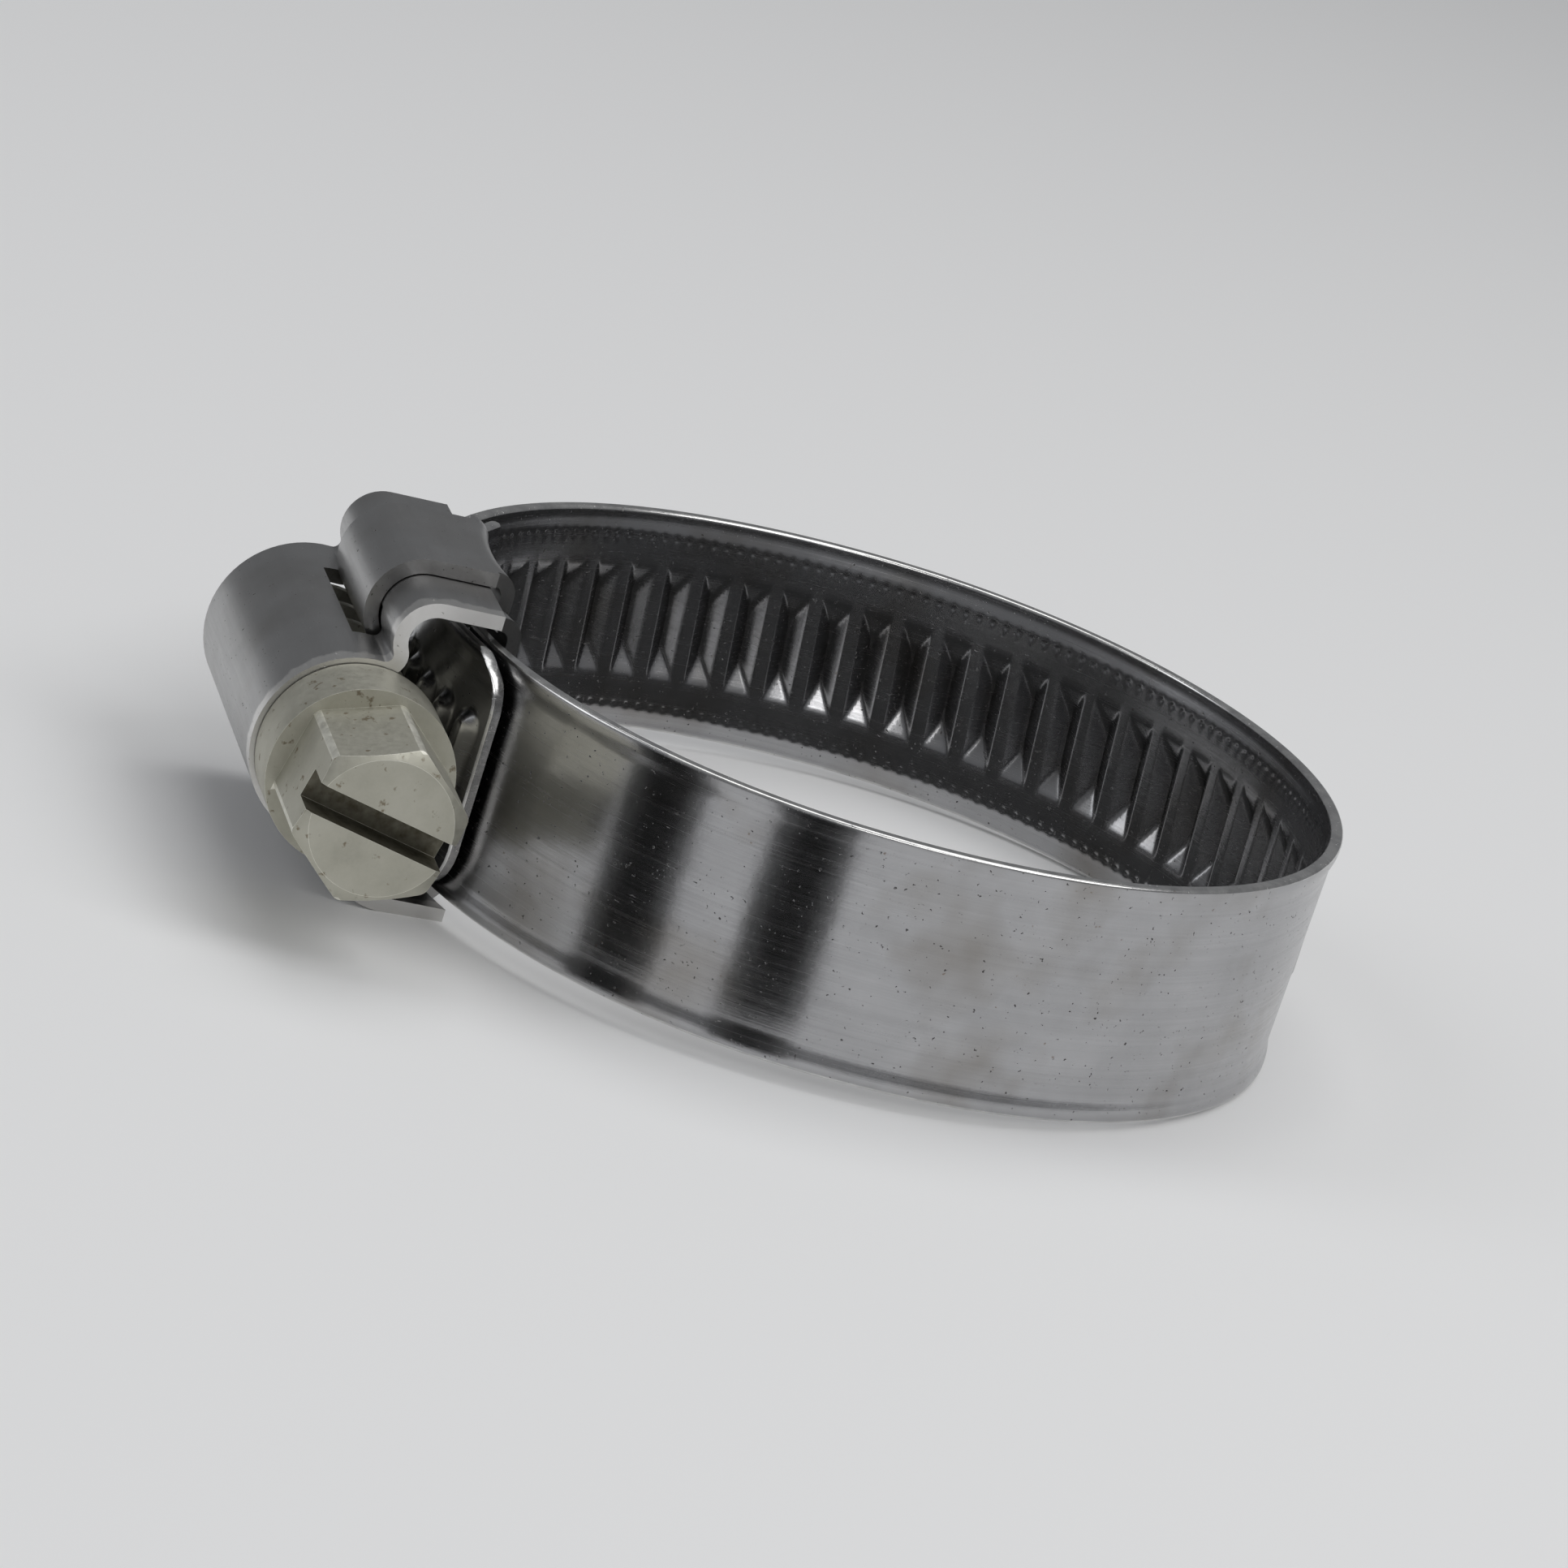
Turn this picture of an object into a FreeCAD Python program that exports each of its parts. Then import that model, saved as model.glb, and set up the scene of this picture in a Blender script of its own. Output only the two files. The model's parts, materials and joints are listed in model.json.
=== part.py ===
import FreeCAD, Part
import Sketcher
import math
import os

# Worm-drive hose clamp, 12 mm band, fully open.
# Frame: the hose's axis is Z and the origin is the centre of the hose bore. The housing sits at +Y,
# the worm screw lies along X with its head at -X, and +Z is the side where the housing is closed.

doc = FreeCAD.newDocument("hose_clamp")

# ---------------------------------------------------------------- driving dimensions
DIMENSIONS = {
    # band
    "bore_radius": 21.5,
    "band_width": 12.0,
    "band_thickness": 0.65,
    "seat_radius": 21.3,
    "layer_step": 1.0,
    "seat_offset_x": -0.42,
    "seat_offset_y": 1.6,
    "tail_side_radius": 26.84,
    "head_side_radius": 25.6,
    "tail_reach": 9.0,
    "tongue_reach": 14.0,
    "fixed_end_reach": 3.0,
    "fixed_end_gap": 0.5,
    "segment_gap": 0.07,
    "corner_radius": 2.6,
    "notch_radius": 4.2,
    "notch_depth": 1.1,
    # pressed thread
    "thread_pitch": 2.3,
    "rib_radius": 0.85,
    "rib_length": 4.7,
    "pocket_radius": 0.55,
    "pocket_lift": -0.1,
    "mesh_height": 0.26,
    # worm screw
    "worm_radius": 3.7,
    "core_radius": 2.95,
    "worm_clearance": 0.1,
    "worm_length": 12.6,
    "thread_crest": 0.45,
    "thread_root": 1.05,
    "neck_radius": 2.75,
    "neck_length": 1.55,
    "collar_radius": 4.4,
    "collar_length": 3.2,
    "tip_length": 1.2,
    "hex_across_flats": 7.0,
    "hex_length": 5.85,
    "crown_radius": 3.3,
    "crown_height": 0.6,
    "slot_width": 1.4,
    "slot_depth": 1.8,
    "head_turn": 14.0,
    # housing
    "sheet": 0.7,
    "housing_length": 15.5,
    "barrel_bore": 3.95,
    "saddle_length": 11.4,
    "saddle_gap": 0.2,
    "hem_inside": 6.7,
    "hem_radius": 2.3,
    "hem_height": 23.0,
    "valley_radius": 0.7,
    "corner_bend": 0.85,
    "ear_inside": 6.5,
    "ear_top": 25.9,
    "flange_inside": 7.25,
    "flange_radius": 1.6,
    "flange_height": 24.0,
    "flange_end": 22.75,
    "tab_inside": 8.0,
    "tab_width": 7.8,
    "tab_hook": 48.0,
    "slot_side": 0.4,
    "retainer_radius": 3.05,
    "retainer_length": 0.9,
    "retainer_angle": 26.0,
    "clinch_radius": 0.8,
    "clinch_spacing": 3.6,
}
sheet = doc.addObject("Spreadsheet::Sheet", "Dimensions")
for row, (alias, value) in enumerate(DIMENSIONS.items(), start=1):
    sheet.set("A%d" % row, alias)
    sheet.set("B%d" % row, str(value))
    sheet.setAlias("B%d" % row, alias)
doc.recompute()


def size(alias):
    """A driving dimension, read back from the sheet."""
    return float(sheet.get(alias))


def cell(alias):
    """The same dimension, as it is written in an expression."""
    return "Dimensions." + alias


def bind(feature, **expressions):
    """Bind a feature's properties to expressions over the sheet."""
    for name, expression in expressions.items():
        feature.setExpression(name, expression)
    return feature


# ---------------------------------------------------------------- the band's line
# Seen along Z the band's middle line is five tangent arcs: the tail's arc and the fixed end's arc share
# one centre, the seat centre, behind the housing; the long lower arc is centred on the hose; and one
# flatter arc on each side joins them.
SEAT = FreeCAD.Vector(size("seat_offset_x"), size("seat_offset_y"), 0)
ORIGIN = FreeCAD.Vector(0, 0, 0)
Z_AXIS = FreeCAD.Vector(0, 0, 1)
HALF = size("band_thickness") / 2
RING = size("bore_radius") + HALF
FIXED = size("seat_radius")
TAIL = size("seat_radius") + size("layer_step")
MESH = TAIL + HALF + size("mesh_height")
PITCH_ANGLE = size("thread_pitch") / MESH
RIB_STEP = PITCH_ANGLE * TAIL
RIBS_PER_SEGMENT = 4
TOP = math.pi / 2


def angle_from(centre, point):
    return math.atan2(point.y - centre.y, point.x - centre.x)


def side_arc(upper_radius, radius, side):
    """Centre of a side arc, and the angles where it meets the seat's arc and the ring's arc."""
    to_seat = radius - upper_radius
    to_ring = radius - RING
    spread = SEAT.Length
    along = (to_ring ** 2 - to_seat ** 2 + spread ** 2) / (2 * spread)
    across = math.sqrt(to_ring ** 2 - along ** 2)
    axis = FreeCAD.Vector(SEAT).normalize()
    centre = axis * along + Z_AXIS.cross(axis) * (side * across)
    return centre, angle_from(centre, SEAT), angle_from(centre, ORIGIN)


tail_side, tail_side_top, tail_side_low = side_arc(TAIL, size("tail_side_radius"), 1)
head_side, head_side_top, head_side_low = side_arc(FIXED, size("head_side_radius"), -1)
head_side_top %= 2 * math.pi
head_side_low %= 2 * math.pi


# ---------------------------------------------------------------- band segments
def rib_frame(radius, angle):
    """Placement of a rib's outline: its X points outwards and its Y runs along the rib."""
    lead = math.atan(size("thread_pitch") / (2 * math.pi * (size("worm_radius") - size("mesh_height"))))
    turn = FreeCAD.Rotation(Z_AXIS, math.degrees(angle))
    stand = FreeCAD.Rotation(FreeCAD.Vector(1, 0, 0), 90 - math.degrees(lead))
    foot = FreeCAD.Vector(radius * math.cos(angle), radius * math.sin(angle), 0)
    return FreeCAD.Placement(foot, turn.multiply(stand))


def half_capsule(body, name, radius_alias, placement):
    """The outline of half a capsule beside its own long axis, the sketch's vertical axis."""
    radius = size(radius_alias)
    half = size("rib_length") / 2
    sketch = body.newObject("Sketcher::SketchObject", name + "_outline")
    sketch.Placement = placement
    upright = FreeCAD.Vector(0, 0, 1)
    ends = [FreeCAD.Vector(radius, -half, 0), FreeCAD.Vector(radius, half, 0)]
    poles = [FreeCAD.Vector(0, half + radius, 0), FreeCAD.Vector(0, -half - radius, 0)]
    top = Part.Circle(FreeCAD.Vector(0, half, 0), upright, radius)
    low = Part.Circle(FreeCAD.Vector(0, -half, 0), upright, radius)
    sketch.addGeometry(Part.LineSegment(ends[0], ends[1]))
    sketch.addGeometry(Part.ArcOfCircle(top, 0, math.pi / 2))
    sketch.addGeometry(Part.LineSegment(poles[0], poles[1]))
    sketch.addGeometry(Part.ArcOfCircle(low, 3 * math.pi / 2, 2 * math.pi))
    for first, first_point, second, second_point in ((0, 2, 1, 1), (1, 2, 2, 1), (2, 2, 3, 1), (3, 2, 0, 1)):
        sketch.addConstraint(Sketcher.Constraint("Coincident", first, first_point, second, second_point))
    for curve, point in ((1, 3), (3, 3), (2, 1), (2, 2)):
        sketch.addConstraint(Sketcher.Constraint("PointOnObject", curve, point, -2))
    sketch.addConstraint(Sketcher.Constraint("Horizontal", 1, 3, 0, 2))
    sketch.addConstraint(Sketcher.Constraint("Horizontal", 3, 3, 0, 1))
    sketch.addConstraint(Sketcher.Constraint("Vertical", 0))
    bound = sketch.addConstraint(Sketcher.Constraint("DistanceY", -1, 1, 1, 3, half))
    sketch.setExpression("Constraints[%d]" % bound, cell("rib_length") + " / 2")
    bound = sketch.addConstraint(Sketcher.Constraint("DistanceY", 0, 1, 0, 2, 2 * half))
    sketch.setExpression("Constraints[%d]" % bound, cell("rib_length"))
    bound = sketch.addConstraint(Sketcher.Constraint("Radius", 1, radius))
    sketch.setExpression("Constraints[%d]" % bound, cell(radius_alias))
    return sketch


def capsules(body, kind, radius_alias, radius, first_angle, step, count):
    """A row of capsules, evenly spaced round the body's axis: the ribs, or the pockets behind them."""
    name = body.Name + "_" + radius_alias.split("_")[0]
    sketch = half_capsule(body, name, radius_alias, rib_frame(radius, first_angle))
    capsule = body.newObject("PartDesign::" + kind, name)
    capsule.Profile = sketch
    capsule.ReferenceAxis = (sketch, ["V_Axis"])
    capsule.Angle = 360
    body.Tip = capsule
    row = body.newObject("PartDesign::PolarPattern", name + "_row")
    row.Originals = [capsule]
    row.Axis = ([part for part in body.Origin.OriginFeatures if part.Role == "Z_Axis"][0], [""])
    row.Angle = math.degrees(step) * (count - 1)
    row.Occurrences = count
    body.Tip = row


def band_piece(name, centre, radius, radius_cell, start, end, ribs=0, rib_pitch=0.0, first_rib=0.0):
    """One stretch of band, an arc of sheet from one angle to a larger one, with its pressed ribs."""
    body = doc.addObject("PartDesign::Body", name)
    body.Label = name
    blank = body.newObject("PartDesign::AdditiveCylinder", name + "_blank")
    bind(
        blank,
        Radius="%s + %s / 2" % (radius_cell, cell("band_thickness")),
        Height=cell("band_width"),
    )
    blank.Angle = math.degrees(end - start)
    blank.Placement.Base.z = -size("band_width") / 2
    if ribs:
        capsules(body, "Revolution", "rib_radius", radius, first_rib - start, rib_pitch, ribs)
    hollow = body.newObject("PartDesign::SubtractiveCylinder", name + "_hollow")
    bind(
        hollow,
        Radius="%s - %s / 2" % (radius_cell, cell("band_thickness")),
        Height="2 * " + cell("band_width"),
    )
    hollow.Placement.Base.z = -size("band_width")
    body.Tip = hollow
    if ribs:
        depth = radius + size("pocket_lift")
        capsules(body, "Groove", "pocket_radius", depth, first_rib - start, rib_pitch, ribs)
    body.Placement = FreeCAD.Placement(centre, FreeCAD.Rotation(Z_AXIS, math.degrees(start)))
    return body


def round_corners(body, angle):
    """Round the two corners of the band's end that lies at the given angle in the body's own frame."""
    doc.recompute()
    tip = body.Tip
    ends = []
    for number, edge in enumerate(tip.Shape.Edges, start=1):
        middle = edge.CenterOfMass
        at_end = abs(math.atan2(middle.y, middle.x) - angle) < 1e-3
        at_side = abs(abs(middle.z) - size("band_width") / 2) < 1e-3
        if at_end and at_side:
            ends.append("Edge%d" % number)
    fillet = body.newObject("PartDesign::Fillet", body.Name + "_corners")
    fillet.Base = (tip, ends)
    bind(fillet, Radius=cell("corner_radius"))
    body.Tip = fillet


seat_expression = cell("seat_radius")
tail_expression = "(%s + %s)" % (cell("seat_radius"), cell("layer_step"))
ring_expression = "(%s + %s / 2)" % (cell("bore_radius"), cell("band_thickness"))
gap = size("segment_gap") / 2

# The tail: the stretch that the worm drives, from its free tip past the head to the first bend.
tail_start = tail_side_top + gap / TAIL
tail_end = TOP + size("tail_reach") / TAIL
tail_ribs = int((tail_end - tail_side_top) / PITCH_ANGLE)
tail = band_piece(
    "band_tail", SEAT, TAIL, tail_expression, tail_start, tail_end,
    tail_ribs, PITCH_ANGLE, tail_side_top + PITCH_ANGLE / 2,
)
round_corners(tail, tail_end - tail_start)

# Twelve segments stand for the springy loop. Each entry is a centre, a radius, its expression, the
# two angles it spans clockwise, and its number of ribs.
loop = [(tail_side, size("tail_side_radius"), cell("tail_side_radius"),
         tail_side_top, tail_side_low, RIBS_PER_SEGMENT)]
turn = RIBS_PER_SEGMENT * RIB_STEP / RING
angle = tail_side_low
for number in range(4):
    loop.append((ORIGIN, RING, ring_expression, angle, angle - turn, RIBS_PER_SEGMENT))
    angle -= turn
turn = (angle - (head_side_low - 2 * math.pi)) / 3
for number in range(3):
    loop.append((ORIGIN, RING, ring_expression, angle, angle - turn, 0))
    angle -= turn
loop.append((head_side, size("head_side_radius"), cell("head_side_radius"), head_side_low, head_side_top, 0))
fixed_start = TOP + size("fixed_end_reach") / FIXED
turn = (head_side_top - fixed_start) / 3
angle = head_side_top
for number in range(3):
    loop.append((SEAT, FIXED, seat_expression, angle, angle - turn, 0))
    angle -= turn

for number, (centre, radius, expression, begin, finish, ribs) in enumerate(loop, start=1):
    inset = gap / radius
    step = (begin - finish) / ribs if ribs else 0.0
    last_gap = size("fixed_end_gap") / radius if number == len(loop) else inset
    band_piece(
        "band_segment_%02d" % number, centre, radius, expression,
        finish + last_gap, begin - inset, ribs, step, finish + step / 2,
    )

# The fixed end lies on the saddle and ends in the fishtail tongue past the housing.
tongue_tip = TOP - size("tongue_reach") / FIXED
fixed = band_piece(
    "band_fixed_end", SEAT, FIXED, seat_expression, tongue_tip, fixed_start,
)
notch = fixed.newObject("PartDesign::SubtractiveCylinder", "tongue_notch")
bind(notch, Radius=cell("notch_radius"), Height="4 * " + cell("band_thickness"))
notch_height = FIXED - 2 * size("band_thickness")
notch_centre = FreeCAD.Vector(notch_height, size("notch_depth") - size("notch_radius"), 0)
notch.Placement = FreeCAD.Placement(notch_centre, FreeCAD.Rotation(FreeCAD.Vector(0, 1, 0), 90))
fixed.Tip = notch


# ---------------------------------------------------------------- worm screw
# Built along its own Z axis, tip at +Z, then laid along +X. Its worm is centred over the seat.
AXIS_Y = SEAT.y + TAIL + HALF + size("worm_clearance") + size("worm_radius")
lay_along_x = FreeCAD.Rotation(FreeCAD.Vector(0, 1, 0), 90)
screw_place = FreeCAD.Placement(FreeCAD.Vector(SEAT.x, AXIS_Y, 0), lay_along_x)


def rod(name, radius, length, bottom):
    """A plain cylinder on the screw's axis."""
    solid = doc.addObject("Part::Cylinder", name)
    bind(solid, Radius=radius, Height=length)
    solid.setExpression("Placement.Base.z", bottom)
    return solid


half_worm = cell("worm_length") + " / 2"
neck_bottom = "-%s - %s" % (half_worm, cell("neck_length"))
collar_bottom = "%s - %s" % (neck_bottom, cell("collar_length"))
hex_bottom = "%s - %s" % (collar_bottom, cell("hex_length"))
core = rod("worm_core", cell("core_radius"), cell("worm_length"), "-" + half_worm)
neck = rod("neck", cell("neck_radius"), "%s + 0.1" % cell("neck_length"), neck_bottom)
tip = rod("tip", cell("neck_radius"), cell("tip_length"), half_worm)
collar = rod("collar", cell("collar_radius"), cell("collar_length"), collar_bottom)
hexagon = doc.addObject("Part::Prism", "hexagon")
hexagon.Polygon = 6
bind(hexagon, Circumradius="%s / sqrt(3)" % cell("hex_across_flats"), Height=cell("hex_length"))
hexagon.setExpression("Placement.Base.z", hex_bottom)
crown = doc.addObject("Part::Cone", "hexagon_chamfer")
bind(
    crown,
    Radius1=cell("crown_radius"),
    Radius2="%s + %s * sqrt(3)" % (cell("crown_radius"), cell("crown_height")),
    Height=cell("crown_height"),
)
crown.setExpression("Placement.Base.z", hex_bottom)
crown_rest = rod("hexagon_shank", cell("hex_across_flats"), cell("hex_length"),
                 "%s + %s" % (hex_bottom, cell("crown_height")))
crown_whole = doc.addObject("Part::MultiFuse", "hexagon_limit")
crown_whole.Shapes = [crown, crown_rest]
head = doc.addObject("Part::Common", "hexagon_head")
head.Base = hexagon
head.Tool = crown_whole
slot = doc.addObject("Part::Box", "driver_slot")
bind(slot, Length=cell("slot_width"), Width="2 * " + cell("hex_across_flats"), Height=cell("slot_depth"))
slot.setExpression("Placement.Base.x", "-%s / 2" % cell("slot_width"))
slot.setExpression("Placement.Base.y", "-" + cell("hex_across_flats"))
slot.setExpression("Placement.Base.z", hex_bottom)
slotted = doc.addObject("Part::Cut", "slotted_head")
slotted.Base = head
slotted.Tool = slot
slotted.Placement.Rotation = FreeCAD.Rotation(Z_AXIS, size("head_turn"))

# The thread's ridge passes midway between two ribs at the foot of the worm, so the worm is in mesh.
nearest = round((TOP - tail_side_top) / PITCH_ANGLE)
ridge_x = MESH * (TOP - tail_side_top - nearest * PITCH_ANGLE)
turns_down = math.floor((size("worm_length") / 2 - size("thread_root")) / size("thread_pitch"))
helix_start = ridge_x - (turns_down + 0.75) * size("thread_pitch") + size("thread_pitch")
helix_turns = 4
helix = doc.addObject("Part::Helix", "thread_line")
bind(helix, Pitch=cell("thread_pitch"), Radius=cell("core_radius"))
helix.Height = helix_turns * size("thread_pitch")
helix.Placement.Base.z = helix_start
ridge = doc.addObject("Part::Polygon", "thread_section")
root_half = size("thread_root") / 2
crest_half = size("thread_crest") / 2
sunk = size("core_radius") - 0.15
ridge.Nodes = [
    FreeCAD.Vector(sunk, 0, helix_start - root_half),
    FreeCAD.Vector(size("worm_radius"), 0, helix_start - crest_half),
    FreeCAD.Vector(size("worm_radius"), 0, helix_start + crest_half),
    FreeCAD.Vector(sunk, 0, helix_start + root_half),
]
ridge.Close = True
thread = doc.addObject("Part::Sweep", "thread")
thread.Sections = [ridge]
thread.Spine = (helix, ["Edge1"])
thread.Solid = True
thread.Frenet = True
screw = doc.addObject("Part::MultiFuse", "worm_screw")
screw.Label = "worm_screw"
screw.Shapes = [core, thread, neck, tip, collar, slotted]
screw.Placement = screw_place


# ---------------------------------------------------------------- housing
# One strip of sheet wrapped round the band and the worm. Its section lies in the YZ plane.
T2 = size("sheet") / 2
HALF_LENGTH = size("housing_length") / 2
PLATE = FIXED - HALF - size("saddle_gap") - T2
BARREL = size("barrel_bore") + T2


def polar(centre, radius, angle):
    return FreeCAD.Vector(0, centre.y + radius * math.sin(angle), centre.z + radius * math.cos(angle))


def bend(centre, radius, begin, end):
    """Two edges of a bent stretch of sheet: an arc inside and an arc outside its middle line."""
    pair = []
    for side in (radius + T2, radius - T2):
        middle = polar(centre, side, (begin + end) / 2)
        pair.append(Part.Arc(polar(centre, side, begin), middle, polar(centre, side, end)).toShape())
    return pair


def straight(begin, end):
    """Two edges of a flat stretch of sheet."""
    across = (end - begin).cross(FreeCAD.Vector(1, 0, 0)).normalize() * T2
    return [Part.LineSegment(begin + across, end + across).toShape(),
            Part.LineSegment(begin - across, end - across).toShape()]


def cap(point, across):
    return [Part.LineSegment(point + across * T2, point - across * T2).toShape()]


def section(edges):
    """A face bounded by loose edges that meet end to end."""
    return Part.Face(Part.Wire(Part.__sortEdges__(edges)))


def between(centre_a, reach_a, centre_b, reach_b, side):
    """The point at the two given distances from two centres in the YZ plane."""
    apart = centre_b - centre_a
    along = (reach_a ** 2 - reach_b ** 2 + apart.Length ** 2) / (2 * apart.Length)
    across = math.sqrt(reach_a ** 2 - along ** 2)
    axis = FreeCAD.Vector(apart).normalize()
    return centre_a + axis * along + axis.cross(FreeCAD.Vector(1, 0, 0)) * (side * across)


def toward(centre, point):
    return math.atan2(point.y - centre.y, point.z - centre.z)


barrel = FreeCAD.Vector(0, AXIS_Y, 0)
hem_z = -(size("hem_inside") + T2)
hem = FreeCAD.Vector(0, SEAT.y + size("hem_height"), hem_z + size("hem_radius"))
flange_z = size("flange_inside") + T2
flange = FreeCAD.Vector(0, SEAT.y + size("flange_height"), flange_z - size("flange_radius"))
valley = size("valley_radius")
hem_valley = between(hem, size("hem_radius") + valley, barrel, BARREL + valley, 1)
flange_valley = between(flange, size("flange_radius") + valley, barrel, BARREL + valley, -1)
flange_foot = FreeCAD.Vector(0, size("flange_end"), flange_z)
flange_rise = FreeCAD.Vector(0, flange.y, flange_z)
across_z = FreeCAD.Vector(0, 0, 1)

wrap_edges = []
wrap_edges += cap(FreeCAD.Vector(0, hem.y, hem_z), across_z)
wrap_edges += bend(hem, size("hem_radius"), math.pi, toward(hem, hem_valley))
wrap_edges += bend(hem_valley, valley, toward(hem_valley, hem), toward(hem_valley, barrel))
wrap_edges += bend(barrel, BARREL, toward(barrel, hem_valley) % (2 * math.pi), toward(barrel, flange_valley))
wrap_edges += bend(flange_valley, valley, toward(flange_valley, barrel) % (2 * math.pi),
                   toward(flange_valley, flange) % (2 * math.pi))
wrap_edges += bend(flange, size("flange_radius"), toward(flange, flange_valley), 0.0)
wrap_edges += straight(flange_rise, flange_foot)
wrap_edges += cap(flange_foot, across_z)


def extruded(name, face, length, start):
    """A section drawn in the YZ plane, drawn out along X."""
    outline = doc.addObject("Part::Feature", name + "_section")
    outline.Shape = face
    solid = doc.addObject("Part::Extrusion", name)
    solid.Base = outline
    solid.Dir = FreeCAD.Vector(1, 0, 0)
    solid.DirMode = "Custom"
    solid.Solid = True
    bind(solid, LengthFwd=length)
    solid.Placement.Base.x = start
    return solid


wrap = extruded("wrap", section(wrap_edges), cell("housing_length"), SEAT.x - HALF_LENGTH)


def turned(name, face, half_angle):
    """A section drawn in the YZ plane, turned about the seat's axis by an equal angle each way."""
    outline = doc.addObject("Part::Feature", name + "_section")
    outline.Shape = face
    outline.Placement = FreeCAD.Placement(ORIGIN, FreeCAD.Rotation(Z_AXIS, -half_angle), SEAT)
    solid = doc.addObject("Part::Revolution", name)
    solid.Source = outline
    solid.Axis = Z_AXIS
    solid.Base = SEAT
    solid.Angle = 2 * half_angle
    solid.Solid = True
    return solid


def corner_section(wall_z, side, inner_z):
    """The saddle's sheet from inner_z out to a wall, turned up through a right angle."""
    corner = FreeCAD.Vector(SEAT.x, SEAT.y + PLATE + size("corner_bend"), wall_z - side * size("corner_bend"))
    low = -math.pi / 2
    high = 0.0 if side > 0 else -math.pi
    flat_in = FreeCAD.Vector(0, SEAT.y + PLATE, inner_z)
    flat_out = FreeCAD.Vector(0, SEAT.y + PLATE, corner.z)
    edges = cap(flat_in, FreeCAD.Vector(0, 1, 0)) + straight(flat_in, flat_out)
    edges += bend(corner, size("corner_bend"), low, high)
    edges += cap(FreeCAD.Vector(0, corner.y, wall_z), across_z)
    face = section(edges)
    face.translate(FreeCAD.Vector(SEAT.x, 0, 0))
    return face


def degrees_at(half_width):
    return math.degrees(math.asin(half_width / PLATE))


def wall(name, inside, side, half_width, top):
    """A flat wall beside the band that stands on the saddle's turned-up corner."""
    slab = doc.addObject("Part::Box", name + "_slab")
    bind(slab, Height=cell("sheet"))
    slab.Length = 2 * half_width
    slab.Width = top - SEAT.y - PLATE + 2 * size("sheet")
    low_z = inside if side > 0 else -inside - size("sheet")
    slab.Placement.Base = FreeCAD.Vector(SEAT.x - half_width, top - slab.Width.Value, low_z)
    clear = doc.addObject("Part::Cylinder", name + "_clear")
    clear.Radius = PLATE + size("corner_bend")
    clear.Height = 4 * size("sheet")
    clear.Placement.Base = FreeCAD.Vector(SEAT.x, SEAT.y, low_z - size("sheet"))
    cut = doc.addObject("Part::Cut", name)
    cut.Base = slab
    cut.Tool = clear
    return cut


def box(name, low, high):
    solid = doc.addObject("Part::Box", name)
    solid.Length = high[0] - low[0]
    solid.Width = high[1] - low[1]
    solid.Height = high[2] - low[2]
    solid.Placement.Base = FreeCAD.Vector(*low)
    return solid


saddle_half = size("saddle_length") / 2
ear_z = size("ear_inside") + T2
tab_z = size("tab_inside") + T2
tab_half = size("tab_width") / 2
slot_half = tab_half + size("slot_side")

hem_saddle = turned("saddle", corner_section(hem_z, -1, 0.0), degrees_at(saddle_half))
hem_wall = wall("hem_wall", size("hem_inside"), -1, HALF_LENGTH, hem.y)
ear_saddle = turned("ear_saddle", corner_section(ear_z, 1, 0.0), degrees_at(saddle_half))
ear_wall = wall("ear_wall", size("ear_inside"), 1, saddle_half, size("ear_top"))
ears_whole = doc.addObject("Part::MultiFuse", "ears_whole")
ears_whole.Shapes = [ear_saddle, ear_wall]
ear_edge = size("band_width") / 2
between_ears = box(
    "between_ears",
    (SEAT.x - slot_half, SEAT.y + PLATE - 3, ear_edge),
    (SEAT.x + slot_half, size("ear_top") + 1, ear_z + 2),
)
ears = doc.addObject("Part::Cut", "ears")
ears.Base = ears_whole
ears.Tool = between_ears

tab_root = turned("tab_root", corner_section(tab_z, 1, 0.0), degrees_at(tab_half))
tab_wall = wall("tab_wall", size("tab_inside"), 1, tab_half, flange.y)
tab_bend = size("tab_inside") + T2 - flange.z
hook_edges = cap(FreeCAD.Vector(0, flange.y, tab_z), across_z)
hook_end = math.pi / 2 + math.radians(size("tab_hook"))
hook_edges += bend(flange, tab_bend, 0.0, hook_end)
hook_edges += cap(polar(flange, tab_bend, hook_end), polar(ORIGIN, 1.0, hook_end))
hook = extruded("tab_hook_bend", section(hook_edges), cell("tab_width"), SEAT.x - tab_half)

slot_cut = box(
    "tab_slot",
    (SEAT.x - slot_half, flange.y + size("flange_radius") + T2 - 0.6, BARREL - 0.55),
    (SEAT.x + slot_half, AXIS_Y + 0.6, flange.z + 0.1),
)
slotted_wrap = doc.addObject("Part::Cut", "slotted_wrap")
slotted_wrap.Base = wrap
slotted_wrap.Tool = slot_cut


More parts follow.
